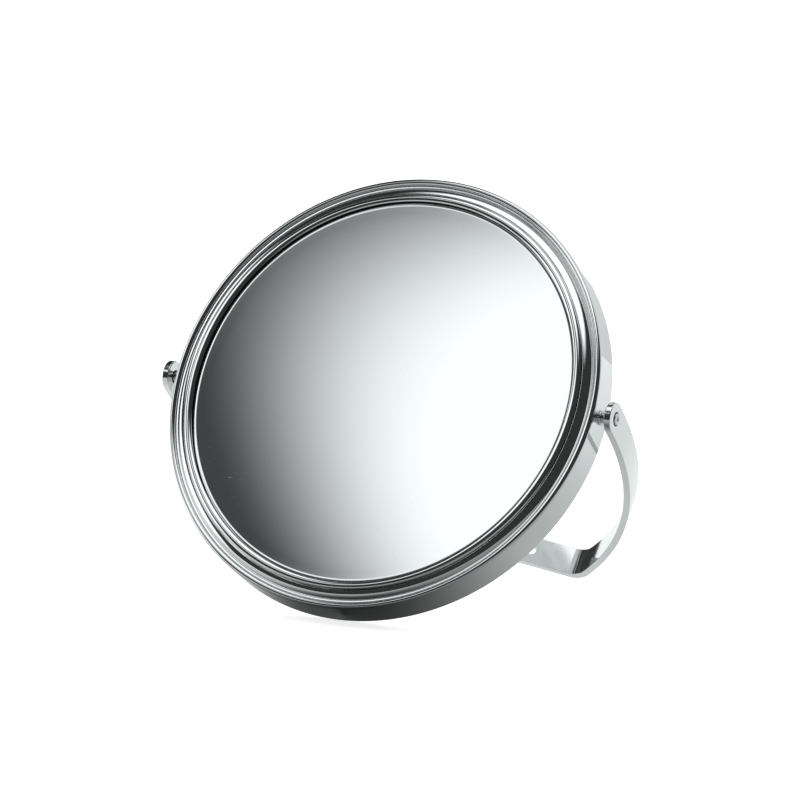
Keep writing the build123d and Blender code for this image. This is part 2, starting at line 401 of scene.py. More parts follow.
def polished(name, dark, light, rough, smudge, scratch, grain=ALONG_X):
    """Polished plating: faint cloudiness in the tone, handling smudges and hairlines."""
    mat, n, shader, place = new_material(name)
    shader.inputs["Metallic"].default_value = 1.0
    tone = n.ramp(n.noise(place, TONE_SCALE, 3.0), *TONE_BAND, 0.0, 1.0)
    n.join(n.mix(tone, dark, light), shader.inputs["Base Color"])
    cloud = n.ramp(n.noise(place, SMUDGE_SCALE, 4.0), *SMUDGE_BAND, 0.0, smudge)
    fine = n.ramp(n.noise(place, FINE_SCALE, 2.0), *FINE_BAND, 0.0, smudge * FINE_SHARE)
    hair = n.noise(place, HAIR_SCALE, 1.0, grain)
    lines = n.ramp(hair, *HAIR_BAND, 0.0, scratch)
    total = n.math("ADD", n.math("ADD", cloud, fine), n.math("ADD", lines, rough))
    n.join(total, shader.inputs["Roughness"])
    wavy = n.bump(n.noise(place, WAVE_SCALE, 1.0), WAVE_STRENGTH, WAVE_DEPTH)
    n.join(n.bump(hair, HAIR_STRENGTH, HAIR_DEPTH, wavy), shader.inputs["Normal"])
    return mat


def soft_part(name, dark, light, rough, scale, height, sheen=0.0):
    """A dull part: mottled tone and a fine grain that also moves the surface."""
    mat, n, shader, place = new_material(name)
    grain = n.noise(place, scale, 4.0)
    broad = n.noise(place, MOTTLE_SCALE, 2.0)
    n.join(n.mix(n.math("MULTIPLY", grain, broad), dark, light), shader.inputs["Base Color"])
    uneven = n.ramp(grain, *TONE_BAND, rough - ROUGH_SPREAD, rough + ROUGH_SPREAD)
    n.join(uneven, shader.inputs["Roughness"])
    n.join(n.bump(grain, GRAIN_STRENGTH, height), shader.inputs["Normal"])
    shader.inputs["Sheen Weight"].default_value = sheen
    return mat


def mirror_glass(name):
    """Silvered glass: an almost perfect mirror with a breath of haze and a few specks."""
    mat, n, shader, place = new_material(name)
    shader.inputs["Metallic"].default_value = 1.0
    tone = n.noise(place, SILVER_SCALE, 2.0)
    n.join(n.mix(tone, SILVER_DARK, SILVER_LIGHT), shader.inputs["Base Color"])
    haze = n.ramp(n.noise(place, HAZE_SCALE, 5.0), *HAZE_BAND, HAZE_LEAST, HAZE_MOST)
    speck = n.ramp(n.noise(place, SPECK_SCALE, 0.0), *SPECK_BAND, 0.0, SPECK_ROUGH)
    n.join(n.math("ADD", haze, speck), shader.inputs["Roughness"])
    return mat


MATERIALS = {
    "band_chrome": polished(
        "band_chrome", (0.76, 0.78, 0.78), (0.82, 0.84, 0.84),
        rough=0.025, smudge=0.03, scratch=0.03,
    ),
    "bezel_chrome": polished(
        "bezel_chrome", (0.80, 0.82, 0.82), (0.86, 0.87, 0.87),
        rough=0.02, smudge=0.02, scratch=0.02,
    ),
    "ring_chrome": polished(
        "ring_chrome", (0.80, 0.81, 0.81), (0.86, 0.87, 0.87),
        rough=0.02, smudge=0.02, scratch=0.02,
    ),
    "stand_chrome": polished(
        "stand_chrome", (0.74, 0.76, 0.76), (0.80, 0.82, 0.82),
        rough=0.08, smudge=0.035, scratch=0.04,
    ),
    "pivot_chrome": polished(
        "pivot_chrome", (0.68, 0.70, 0.70), (0.76, 0.78, 0.78),
        rough=0.05, smudge=0.04, scratch=0.02,
    ),
    "pivot_steel": polished(
        "pivot_steel", (0.58, 0.59, 0.60), (0.70, 0.71, 0.72),
        rough=0.12, smudge=0.06, scratch=0.08, grain=ACROSS_X,
    ),
    "mirror_glass": mirror_glass("mirror_glass"),
    "gasket_rubber": soft_part(
        "gasket_rubber", (0.008, 0.008, 0.008), (0.03, 0.03, 0.03),
        rough=0.7, scale=1800.0, height=2e-5,
    ),
    "core_plastic": soft_part(
        "core_plastic", (0.02, 0.02, 0.022), (0.06, 0.06, 0.065),
        rough=0.5, scale=900.0, height=3e-5,
    ),
    "foam": soft_part(
        "foam", (0.10, 0.10, 0.105), (0.30, 0.30, 0.31),
        rough=0.95, scale=1400.0, height=2e-4,
    ),
    "felt": soft_part(
        "felt", (0.38, 0.36, 0.32), (0.62, 0.60, 0.54),
        rough=0.95, scale=2200.0, height=1e-4, sheen=0.4,
    ),
    "insert_brass": polished(
        "insert_brass", (0.62, 0.46, 0.20), (0.78, 0.62, 0.32),
        rough=0.15, smudge=0.06, scratch=0.08,
    ),
    "bush_nylon": soft_part(
        "bush_nylon", (0.015, 0.015, 0.016), (0.05, 0.05, 0.055),
        rough=0.45, scale=1200.0, height=1e-5,
    ),
}
slot_of = {s["node"]: s["material_slot"] for s in frame["record"]["subparts"]}
for name, node in frame["nodes"].items():
    node.data.materials.clear()
    node.data.materials.append(MATERIALS[slot_of[name]])


def finish_piece(builder, node, body):
    slot = slot_of[node]
    builder.piece(node + "_v", MATERIALS[slot], body, slot, node)


# ---------------------------------------------------------------- drum
FINE = 360  # steps round the drum
HOLE_HALF = 2  # steps of the band on each side of the middle of a pivot hole
HOLE_STEP = 1.483  # about the length of one step round the band
HOLE_ROWS = [HOLE_STEP * k for k in range(-HOLE_HALF, HOLE_HALF + 1)]
HEM_STEPS = 30
FACE_STEPS = 40  # across the faces of the bezel and the ring
UNDER_STEPS = 12  # across the hidden underside of the bezel
EDGE_STEPS = 6
BOWL_STEPS = 24
BEVEL_STEPS = 12


def band_outline():
    """Rolled strip: straight wall between two round hems."""
    inner = DRUM_R - BAND_T
    turn = math.degrees(math.acos((inner - HEM_MID_R) / HEM_R))
    wall_end = HEM_MID_W - HEM_R * math.sin(math.radians(turn))
    return [
        run((DRUM_R, -HEM_MID_W), (DRUM_R, HEM_MID_W), HOLE_ROWS),
        arc((HEM_MID_R, HEM_MID_W), HEM_R, 0, 360 - turn, HEM_STEPS),
        run((inner, wall_end), (inner, -wall_end), HOLE_ROWS[::-1]),
        arc((HEM_MID_R, -HEM_MID_W), HEM_R, turn, 360, HEM_STEPS),
    ]


def make_band():
    """The band, with a round hole through it at each end of the pivot axis."""
    parts = band_outline()
    outer_first = 1
    inner_first = 1 + len(HOLE_ROWS) + HEM_STEPS + 1
    count = len(HOLE_ROWS) - 1
    skip = set()
    for first in (outer_first, inner_first):
        for k in range(first, first + count):
            for middle in (0, FINE // 2):
                for j in range(middle - HOLE_HALF, middle + HOLE_HALF):
                    skip.add((k, j % FINE))
    b, ids = lathe(parts, pivot, DRUM_DIR, FINE, holes=skip)
    for side, middle in ((1, 0), (-1, FINE // 2)):
        loops = []
        for first in (outer_first, inner_first):
            ks = list(range(first, first + count + 1))
            if first == inner_first:
                ks = ks[::-1]
            js = [(middle + j) % FINE for j in range(-HOLE_HALF, HOLE_HALF + 1)]
            loops.append(
                [ids[ks[0]][j] for j in js[:-1]]
                + [ids[k][js[-1]] for k in ks[:-1]]
                + [ids[ks[-1]][j] for j in js[:0:-1]]
                + [ids[k][js[0]] for k in ks[:0:-1]]
            )
        stitch_hole(b, loops[0], loops[1], pivot, side * AXIS_X, STEM_R + SLIP, drum_wall)
    finish_piece(b, "drum_band", "mirror")


def drum_wall(point, outer):
    """The point moved along X onto the wall of the band, with the wall's normal there."""
    r = DRUM_R if outer else DRUM_R - BAND_T
    across = np.cross(DRUM_DIR, AXIS_X)
    y = (point - pivot) @ across
    x = math.sqrt(r * r - y * y) * (1 if point[0] > 0 else -1)
    moved = point + AXIS_X * (x - (point[0] - pivot[0]))
    normal = (x * AXIS_X + y * across) / r
    return moved, normal if outer else -normal


NUDGE = 1e-3  # moves a point off the middle plane of the drum, so that its side is known
EASE_STEPS = 3


def stitch_hole(b, loop_out, loop_in, centre, axis, radius, surface, ease=0.0):
    """Joins a gap in an outer and an inner face by a round hole, with eased edges if wanted."""
    count = len(loop_out)
    axis = np.array(axis, float)
    walls = []
    for loop, outer in ((loop_out, True), (loop_in, False)):
        rim, rim_normals, spokes = [], [], []
        for i in loop:
            d = b.points[i] - centre
            u = d - (d @ axis) * axis
            spokes.append(u / np.linalg.norm(u))
        for u in spokes:
            at, normal = surface(centre + u * (radius + ease) + axis * NUDGE, outer)
            rim.append(b.vert(at))
            rim_normals.append(normal)
        loop_normals = [surface(b.points[i], outer)[1] for i in loop]
        for i in range(count):
            k = (i + 1) % count
            corner = [loop[i], loop[k], rim[k], rim[i]]
            normals = [loop_normals[i], loop_normals[k], rim_normals[k], rim_normals[i]]
            if outer:
                b.face(corner, normals)
            else:
                b.face(corner[::-1], normals[::-1])
        rows = [(rim, rim_normals)]
        if ease:
            for step in range(1, EASE_STEPS + 1):
                a = step / EASE_STEPS * math.pi / 2
                row, row_normals = [], []
                for u, n0, r0 in zip(spokes, rim_normals, rim):
                    start = b.points[r0]
                    row.append(b.vert(start - u * ease * math.sin(a) - n0 * ease * (1 - math.cos(a))))
                    row_normals.append(n0 * math.cos(a) - u * math.sin(a))
                rows.append((row, row_normals))
            for (p, pn), (q, qn) in zip(rows[:-1], rows[1:]):
                for i in range(count):
                    k = (i + 1) % count
                    corner = [p[i], p[k], q[k], q[i]]
                    normals = [pn[i], pn[k], qn[k], qn[i]]
                    if outer:
                        b.face(corner, normals)
                    else:
                        b.face(corner[::-1], normals[::-1])
        walls.append((rows[-1][0], spokes))
    (top, spokes), (bottom, _) = walls
    for i in range(count):
        k = (i + 1) % count
        b.face([top[i], top[k], bottom[k], bottom[i]], [-spokes[i], -spokes[k], -spokes[k], -spokes[i]])


make_band()

for face, way in (("front", DRUM_DIR), ("rear", -DRUM_DIR)):
    under = BEZEL_FLOOR - BEZEL_SHEET
    lip_under = BEZEL_SHOULDER - BEZEL_SHEET
    flange_in_r = BEZEL_OUT_R - BEZEL_SHEET
    under_out_r = FACE_OUT_R - BEZEL_SHEET / 2
    face_mid_r = (FACE_OUT_R + FACE_IN_R) / 2
    shoulder = (FACE_IN_R, BEZEL_SHOULDER)
    shoulder_out = (FACE_OUT_R, BEZEL_SHOULDER)
    floor_corner = (BEZEL_OUT_R, BEZEL_FLOOR)
    floor_end = (FACE_OUT_R, BEZEL_FLOOR)
    bezel = outline(
        straight((flange_in_r, FLANGE_END), (BEZEL_OUT_R, FLANGE_END)),
        rounded((BEZEL_OUT_R, FLANGE_END), floor_corner, floor_end, BEZEL_EDGE_R, EDGE_STEPS),
        arc_through(floor_end, (face_mid_r, BEZEL_MID),
                    (FACE_IN_R + SHOULDER_R, BEZEL_SHOULDER), FACE_STEPS),
        rounded(shoulder_out, shoulder, (FACE_IN_R, under), SHOULDER_R, EDGE_STEPS)[1:],
        straight((FACE_IN_R, BEZEL_SHOULDER - 2 * SHOULDER_R), (FACE_IN_R, lip_under)),
        arc_through((FACE_IN_R, lip_under), (face_mid_r, BEZEL_MID - BEZEL_SHEET),
                    (under_out_r, under), UNDER_STEPS),
        straight((under_out_r, under), (flange_in_r, under)),
        straight((flange_in_r, under), (flange_in_r, FLANGE_END)),
    )
    finish_piece(lathe(bezel, pivot, way, FINE)[0], f"{face}_bezel", "mirror")

    ring = outline(
        straight((RING_BORE_R, RING_SEAT), (RING_BORE_R, RING_FOOT_BOTTOM)),
        straight((RING_BORE_R, RING_FOOT_BOTTOM), (RING_FOOT_R, RING_FOOT_BOTTOM)),
        straight((RING_FOOT_R, RING_FOOT_BOTTOM), (RING_FOOT_R, RING_FOOT_TOP)),
        straight((RING_FOOT_R, RING_FOOT_TOP), (RING_OUT_R, RING_FOOT_TOP)),
        straight((RING_OUT_R, RING_FOOT_TOP), (RING_OUT_R, RING_SHOULDER)),
        arc_through((RING_OUT_R, RING_SHOULDER), ((RING_OUT_R + RING_IN_R) / 2, RING_CREST),
                    (RING_IN_R, RING_LIP), FACE_STEPS),
        rounded((RING_IN_R, RING_LIP), (RING_IN_R, RING_SEAT), (RING_BORE_R, RING_SEAT), RING_EDGE_R),
        straight((RING_IN_R + 2 * RING_EDGE_R, RING_SEAT), (RING_BORE_R, RING_SEAT)),
    )
    finish_piece(lathe(ring, pivot, way, FINE)[0], f"{face}_retaining_ring", "mirror")


def bowl_arc(edge_height, outwards):
    """A concave face of the magnifying glass, from its middle or from its edge."""
    drop = math.sqrt(BOWL_R**2 - GLASS_R**2)
    centre = (0.0, edge_height + drop)
    half = math.degrees(math.asin(GLASS_R / BOWL_R))
    side = arc(centre, BOWL_R, -90, -90 + half, BOWL_STEPS)
    if outwards:
        return side
    return [(p, -n) for p, n in side[::-1]]


back_edge = GLASS_FACE - GLASS_T
face_rise = math.sqrt(BOWL_R**2 - GLASS_R**2)
bevel_slope = math.asin(BEVEL_IN_R / BOWL_R)
bevel_w = GLASS_FACE + face_rise - math.sqrt(BOWL_R**2 - BEVEL_IN_R**2)
bevel_centre = (BEVEL_IN_R + BEVEL_R * math.sin(bevel_slope), bevel_w - BEVEL_R * math.cos(bevel_slope))
bevel_outer_angle = 90 - math.degrees(BEVEL_TURN)
bevel_inner_angle = 90 + math.degrees(bevel_slope)
bevel = arc(bevel_centre, BEVEL_R, bevel_outer_angle, bevel_inner_angle, BEVEL_STEPS)
bevel_end = bevel[0][0]
edge_w = bevel_end[1] - (GLASS_R - bevel_end[0]) * math.tan(BEVEL_TURN)
magnifier = outline(
    bowl_arc(back_edge, True),
    rounded((0.0, back_edge), (GLASS_R, back_edge), (GLASS_R, edge_w), GLASS_SEAM)[1:-1],
    rounded((GLASS_R, back_edge), (GLASS_R, edge_w), bevel_end, GLASS_SEAM)[1:],
    bevel,
    [q for q in bowl_arc(GLASS_FACE, False) if q[0][0] < BEVEL_IN_R - BEVEL_CLEAR],
)
finish_piece(lathe(magnifier, pivot, DRUM_DIR, FINE, closed=False)[0], "front_mirror_glass", "mirror")

plain = outline(
    straight((0.0, back_edge), (GLASS_R - 2 * GLASS_SEAM, back_edge)),
    rounded((0.0, back_edge), (GLASS_R, back_edge), (GLASS_R, GLASS_FACE), GLASS_SEAM),
    rounded((GLASS_R, back_edge), (GLASS_R, GLASS_FACE), (0.0, GLASS_FACE), GLASS_SEAM),
    straight((GLASS_R - 2 * GLASS_SEAM, GLASS_FACE), (0.0, GLASS_FACE)),
)
finish_piece(lathe(plain, pivot, -DRUM_DIR, FINE, closed=False)[0], "rear_mirror_glass", "mirror")

# ---------------------------------------------------------------- pivots
ROUND = 96  # steps round a pivot
COLLAR_STEPS = 16
DISH_STEPS = 12
CHAMFER_STEPS = 8
DISH_EDGE_R = 0.15
DISH_SIDE, DISH_DOWN = 0.12, 0.08  # where the rounded rim of the dish ends, inwards and down
BUSH_EASE = 0.1
for side, way in (("right", AXIS_X), ("left", -AXIS_X)):
    collar = outline(
        straight((STEM_R + SLIP, DRUM_R), (COLLAR_FOOT_R, DRUM_R)),
        arc_through((COLLAR_FOOT_R, DRUM_R), (COLLAR_R, COLLAR_CROWN_X), (COLLAR_END_R, COLLAR_END_X),
                    COLLAR_STEPS),
        straight((COLLAR_END_R, COLLAR_END_X), (STEM_R + SLIP, COLLAR_END_X)),
        straight((STEM_R + SLIP, COLLAR_END_X), (STEM_R + SLIP, DRUM_R)),
    )
    finish_piece(lathe(collar, pivot, way, ROUND)[0], f"{side}_pivot_collar", "mirror")

    sphere = (DISH_R**2 + DISH_DEPTH**2) / (2 * DISH_DEPTH)
    dish_floor = PIN_END_X - DISH_DEPTH
    dish_half = dish_floor + sphere - math.sqrt(sphere**2 - (DISH_R / 2) ** 2)
    pin = outline(
        straight((0.0, PIN_IN_X), (STEM_R, PIN_IN_X)),
        straight((STEM_R, PIN_IN_X), (STEM_R, COLLAR_END_X)),
        straight((STEM_R, COLLAR_END_X), (JOURNAL_R, COLLAR_END_X)),
        rounded((JOURNAL_R, COLLAR_END_X), (JOURNAL_R, PIN_END_X), (0.0, PIN_END_X), PIN_CHAMFER,
                CHAMFER_STEPS),
        rounded((JOURNAL_R, PIN_END_X), (DISH_R, PIN_END_X), (DISH_R / 2, dish_half), DISH_EDGE_R,
                EDGE_STEPS),
        arc_through((DISH_R - DISH_SIDE, PIN_END_X - DISH_DOWN), (DISH_R / 2, dish_half),
                    (0.0, dish_floor), DISH_STEPS),
    )
    finish_piece(lathe(pin, pivot, way, ROUND, closed=False)[0], f"{side}_pivot_pin", "mirror")

    bore = JOURNAL_R + RUN_FIT
    inner_x, outer_x = STAND_R - STRIP_T, STAND_R
    bush = outline(
        rounded((BUSH_R, outer_x), (bore, outer_x), (bore, inner_x), BUSH_EASE),
        rounded((bore, outer_x), (bore, inner_x), (BUSH_R, inner_x), BUSH_EASE),
        rounded((bore, inner_x), (BUSH_R, inner_x), (BUSH_R, outer_x), BUSH_EASE),
        rounded((BUSH_R, inner_x), (BUSH_R, outer_x), (bore, outer_x), BUSH_EASE),
        straight((BUSH_R - BUSH_EASE, outer_x), (bore + BUSH_EASE, outer_x)),
    )
    finish_piece(lathe(bush, pivot, way, ROUND)[0], f"{side}_ear_bush", "stand")

# ---------------------------------------------------------------- stand
side_start = FOOT - CORNER_R - (SIDE_R - CORNER_R) * math.sin(SIDE_TURN)
side_centre = np.array([STAND_R - SIDE_R, side_start])
corner_centre = side_centre + (SIDE_R - CORNER_R) * np.array([math.cos(SIDE_TURN), math.sin(SIDE_TURN)])
run_start = corner_centre + CORNER_R * np.array([-math.sin(SLOPE), math.cos(SLOPE)])
arch_x = ARCH_R * math.sin(SLOPE)
arch_y = run_start[1] - (run_start[0] - arch_x) * math.tan(SLOPE)
arch_centre = np.array([0.0, arch_y + ARCH_R * math.cos(SLOPE)])
CORNER_TURN = math.pi / 2 + SLOPE - SIDE_TURN
foot_run = (run_start[0] - arch_x) / math.cos(SLOPE)

# Lengths along the outer face, from the end of an ear to the middle of the foot.
LENGTHS = [side_start + EAR_TOP, SIDE_R * SIDE_TURN, CORNER_R * CORNER_TURN, foot_run, ARCH_R * SLOPE]
STARTS = np.concatenate([[0.0], np.cumsum(LENGTHS)])
HALF = STARTS[-1]
ROUND_OFF = 1e-9


def along(u):
    """Outer face of the right half: point, direction of travel and outward normal."""
    k = min(int(np.searchsorted(STARTS, u + ROUND_OFF, side="right")) - 1, len(LENGTHS) - 1)
    v = u - STARTS[k]
    if k == 0:
        return np.array([STAND_R, v - EAR_TOP]), np.array([0.0, 1.0]), np.array([1.0, 0.0])
    if k == 1 or k == 2:
        centre, r, a = (side_centre, SIDE_R, v / SIDE_R) if k == 1 else (
            corner_centre, CORNER_R, SIDE_TURN + v / CORNER_R)
        n = np.array([math.cos(a), math.sin(a)])
        return centre + r * n, np.array([-n[1], n[0]]), n
    if k == 3:
        t = np.array([-math.cos(SLOPE), -math.sin(SLOPE)])
        return run_start + t * v, t, np.array([-math.sin(SLOPE), math.cos(SLOPE)])
    a = SLOPE - v / ARCH_R
    n = np.array([-math.sin(a), math.cos(a)])
    return arch_centre - ARCH_R * n, np.array([-n[1], n[0]]), n


def bent(u, t, z):
    """A developed point (along, across, over the middle of the thickness) on the bent strip."""
    flip = u > HALF
    at, d, n = along(2 * HALF - u if flip else u)
    at = at + n * (z - STRIP_T / 2)
    if flip:
        at, d, n = at * [-1, 1], d * [1, -1], n * [-1, 1]
    place = pivot + at[0] * AXIS_X + at[1] * STAND_DOWN + t * STAND_ACROSS
    return place, d[0] * AXIS_X + d[1] * STAND_DOWN, n[0] * AXIS_X + n[1] * STAND_DOWN


EAR_BLOCK = 3.5  # half size of the patch of faces that a hole replaces
SCREW_BLOCK = 3.0
BLOCK = 8  # faces along each side of that patch
MARGIN = 2  # columns outside it
HOLD = 2.0  # the columns keep the spacing of a screw hole's patch this far beyond it
FLAT_EDGE = 0.85  # the outermost inner column, as a share of the half width of the face
EAR_TURNS = range(0, 50, 6)  # degrees round the rounded corner of an ear
SIDE_POINTS, CORNER_POINTS, RUN_POINTS, REST_POINTS, ARCH_POINTS = 57, 27, 6, 3, 11
STATION_GAP = 0.05  # least distance from the ear's corner to the patch of its hole
SAME_STATION = 1e-4
INSIDE = 1e-3
HOLE_EASE = 0.15  # eased edge of the holes
BEND_STEPS = 6  # across an eased edge of the strip
screw_u = STARTS[3] + (run_start[0] - SCREW_HOLE_X) / math.cos(SLOPE)


def stations():
    """Distances along the strip, for the face outline, from one ear end to the other."""
    ear = [EDGE_R + (EAR_END_R - EDGE_R) * (1 - math.cos(math.radians(a))) for a in EAR_TURNS]
    block = list(np.linspace(EAR_TOP - EAR_BLOCK, EAR_TOP + EAR_BLOCK, BLOCK + 1))
    side = list(STARTS[1] + np.linspace(0, LENGTHS[1], SIDE_POINTS))
    corner = list(STARTS[2] + np.linspace(0, LENGTHS[2], CORNER_POINTS)[1:])
    first = list(np.linspace(STARTS[3], screw_u - SCREW_BLOCK, RUN_POINTS)[1:])
    hole = list(np.linspace(screw_u - SCREW_BLOCK, screw_u + SCREW_BLOCK, BLOCK + 1)[1:])
    rest = list(np.linspace(screw_u + SCREW_BLOCK, STARTS[4], REST_POINTS)[1:])
    arch = list(STARTS[4] + np.linspace(0, LENGTHS[4], ARCH_POINTS)[1:])
    ear = [u for u in ear if u < block[0] - STATION_GAP]
    half = ear + block + side + corner + first + hole + rest + arch
    kept = [half[0]]
    for u in half[1:]:
        if u - kept[-1] > SAME_STATION:
            kept.append(u)
    return kept + [2 * HALF - u for u in kept[-2::-1]]


def make_stand():
    """The bent strip: two faces laid out flat, a rim that joins them, and four round holes."""
    us = stations()
    count = len(us)
    b = Builder()
    middle_columns = list(np.linspace(-EAR_BLOCK, EAR_BLOCK, BLOCK + 1) / (STRIP_W / 2 - EDGE_R))
    taus = [-1.0, -FLAT_EDGE] + middle_columns + [FLAT_EDGE, 1.0]
    columns = len(taus)
    end_flat = STRIP_W / 2 - EAR_END_R

    def edge(i, inset):
        """Distance along and half width of the outline at a station, and its outward direction."""
        u = us[i]
        mirrored = u > HALF
        v = 2 * HALF - u if mirrored else u
        if v < EAR_END_R:
            c = 1 - (v - EDGE_R) / (EAR_END_R - EDGE_R)
            a = math.acos(max(-1.0, min(1.0, c)))
            r = EAR_END_R - inset
            v = inset + r * (1 - math.cos(a))
            h = end_flat + r * math.sin(a)
            d = (-math.cos(a), math.sin(a))
        else:
            h = STRIP_W / 2 - inset
            d = (0.0, 1.0)
        if mirrored:
            return 2 * HALF - v, h, (-d[0], d[1])
        return v, h, d

    def across(i, j):
        """Distance along and across the strip of a point of the flat part of a face."""
        u, h, _ = edge(i, EDGE_R)
        off_screw = min(abs(us[i] - screw_u), abs(2 * HALF - us[i] - screw_u))
        if off_screw <= SCREW_BLOCK + HOLD and MARGIN <= j < columns - MARGIN:
            return u, (j - MARGIN - BLOCK / 2) / (BLOCK / 2) * SCREW_BLOCK
        return u, taus[j] * h

    faces = {}
    for sign in (1, -1):
        z = sign * STRIP_T / 2
        faces[sign] = []
        for i in range(count):
            row = []
            for j in range(columns):
                u, t = across(i, j)
                row.append(b.vert(bent(u, t, z)[0]))
            faces[sign].append(row)
    normals = [bent(u, 0, 0)[2] for u in us]

    def near(u, middle, block):
        return abs(u - middle) < block - INSIDE

    holes = []
    for middle, block, radius in (
        (EAR_TOP, EAR_BLOCK, BUSH_R + SLIP),
        (screw_u, SCREW_BLOCK, SCREW_HOLE_R),
        (2 * HALF - screw_u, SCREW_BLOCK, SCREW_HOLE_R),
        (2 * HALF - EAR_TOP, EAR_BLOCK, BUSH_R + SLIP),
    ):
        inside = [i for i in range(count - 1) if near((us[i] + us[i + 1]) / 2, middle, block)]
        holes.append((middle, radius, inside[0], inside[-1] + 1))
    j0, j1 = MARGIN, columns - 1 - MARGIN
    gaps = {(i, j) for _, _, i0, i1 in holes for i in range(i0, i1) for j in range(j0, j1)}
    for sign in (1, -1):
        grid = faces[sign]
        for i in range(count - 1):
            for j in range(columns - 1):
                if (i, j) in gaps:
                    continue
                corner = [grid[i][j], grid[i + 1][j], grid[i + 1][j + 1], grid[i][j + 1]]
                n0, n1 = sign * normals[i], sign * normals[i + 1]
                ns = [n0, n1, n1, n0]
                b.face(corner if sign > 0 else corner[::-1], ns if sign > 0 else ns[::-1])

    # Eased edges and side walls: loops round the outline, from one face to the other.
    rim = [(0, j) for j in range(columns)] + [(i, columns - 1) for i in range(1, count)]
    rim += [(count - 1, j) for j in range(columns - 2, -1, -1)] + [(i, 0) for i in range(count - 2, 0, -1)]
    levels = []
    for k in range(BEND_STEPS + 1):
        a = k / BEND_STEPS * math.pi / 2
        levels.append((EDGE_R * (1 - math.sin(a)), STRIP_T / 2 - EDGE_R * (1 - math.cos(a)), a))
    levels += [(d, -z, math.pi - a) for d, z, a in levels[::-1]]
    loops = []
    for level, (inset, z, a) in enumerate(levels):
        ids, ns = [], []
        for i, j in rim:
            u, h, d = edge(i, inset)
            if i in (0, count - 1):
                t = taus[j] * h
                d = (-1.0 if i == 0 else 1.0, 0.0)
            else:
                t = h if j else -h
                d = (d[0], d[1] if j else -d[1])
            at, travel, normal = bent(u, t, z)
            if level == 0:
                ids.append(faces[1][i][j])
            elif level == len(levels) - 1:
                ids.append(faces[-1][i][j])
            else:
                ids.append(b.vert(at))
            flat = d[0] * travel + d[1] * STAND_ACROSS
            ns.append(math.sin(a) * flat + math.cos(a) * normal)
        loops.append((ids, ns))
    for (p, pn), (q, qn) in zip(loops[:-1], loops[1:]):
        for m in range(len(rim)):
            k = (m + 1) % len(rim)
            b.face([p[m], p[k], q[k], q[m]], [pn[m], pn[k], qn[k], qn[m]])

    for middle, radius, i0, i1 in holes:
        centre, _, normal = bent(middle, 0, 0)

        def surface(point, outer, centre=centre, normal=normal):
            sign = 1 if outer else -1
            over = (point - centre) @ normal
            return point + normal * (sign * STRIP_T / 2 - over), sign * normal

        ring = [(i0, j) for j in range(j0, j1)] + [(i, j1) for i in range(i0, i1)]
        ring += [(i1, j) for j in range(j1, j0, -1)] + [(i, j0) for i in range(i1, i0, -1)]
        ring = ring[::-1]
        stitch_hole(b, [faces[1][i][j] for i, j in ring], [faces[-1][i][j] for i, j in ring],
                    centre, normal, radius, surface, HOLE_EASE)
    finish_piece(b, "stand_bail", "stand")


make_stand()


# ---------------------------------------------------------------- stage
def stage_object(name, points, faces, material):
    mesh = bpy.data.meshes.new(name)
    mesh.from_pydata(points, [], faces)
    mesh.polygons.foreach_set("use_smooth", [True] * len(faces))
    mesh.materials.append(material)
    obj = bpy.data.objects.new(name, mesh)
    bpy.context.scene.collection.objects.link(obj)
    return obj


PAPER_SCALE = 300.0  # of the noise, in features per metre
PAPER_LIGHT = 0.8


def sweep_material():
    """Pale matt paper with a little light of its own, so that it stays even."""
    mat, n, shader, place = new_material("paper")
    fibre = n.noise(place, PAPER_SCALE, 3.0)
    n.join(n.mix(fibre, (0.88, 0.88, 0.88), (0.92, 0.92, 0.92)), shader.inputs["Base Color"])
    shader.inputs["Roughness"].default_value = 0.95
    shader.inputs["Emission Color"].default_value = (1.0, 1.0, 1.0, 1.0)
    shader.inputs["Emission Strength"].default_value = PAPER_LIGHT
    return mat


# A paper sweep: a floor that curves up into a wall behind. Its sizes are metres.
SWEEP_HALF_WIDTH = 4.0
SWEEP_FRONT = -3.0
BEND_START = 1.2
BEND_R = 0.8
SWEEP_TOP = 4.0
sweep_points, sweep_faces = [], []
profile = [(SWEEP_FRONT, 0.0), (BEND_START, 0.0)]
for turn in range(6, 91, 6):
    a = math.radians(turn)
    profile.append((BEND_START + BEND_R * math.sin(a), BEND_R - BEND_R * math.cos(a)))
profile.append((BEND_START + BEND_R, SWEEP_TOP))
for x in (-SWEEP_HALF_WIDTH, SWEEP_HALF_WIDTH):
    sweep_points += [(x, y, z) for y, z in profile]
for k in range(len(profile) - 1):
    sweep_faces.append([k, k + 1, k + 1 + len(profile), k + len(profile)])
sweep = stage_object("paper_sweep", sweep_points, sweep_faces, sweep_material())
sweep.visible_glossy = False

# The table as the chrome sees it, in metres, in place of the paper: a glowing card with painted shade near the
# drum and painted light further off.
CARD_HALF = 3.0
CARD_Z = -0.0004  # just under the object
CONTACT = (0.002, -0.056, 0.0)  # near where the drum touches the table
# Painted shade: the card is darkest round where the drum touches the table.
SHADE_REACH, SHADE_LEVELS = (0.012, 0.10), (0.05, 0.52)  # start and end of the shade round it
OPEN_REACH, OPEN_LEVELS = (0.08, 0.30), (0.0, 0.15)  # start and end of the paler table
# Painted light: the card is brighter towards this side.
BRIGHT_SIDE = (-0.6, 0.8, 0.0)
SIDE_LEVELS = (0.45, 1.65)  # away from the bright side and towards it


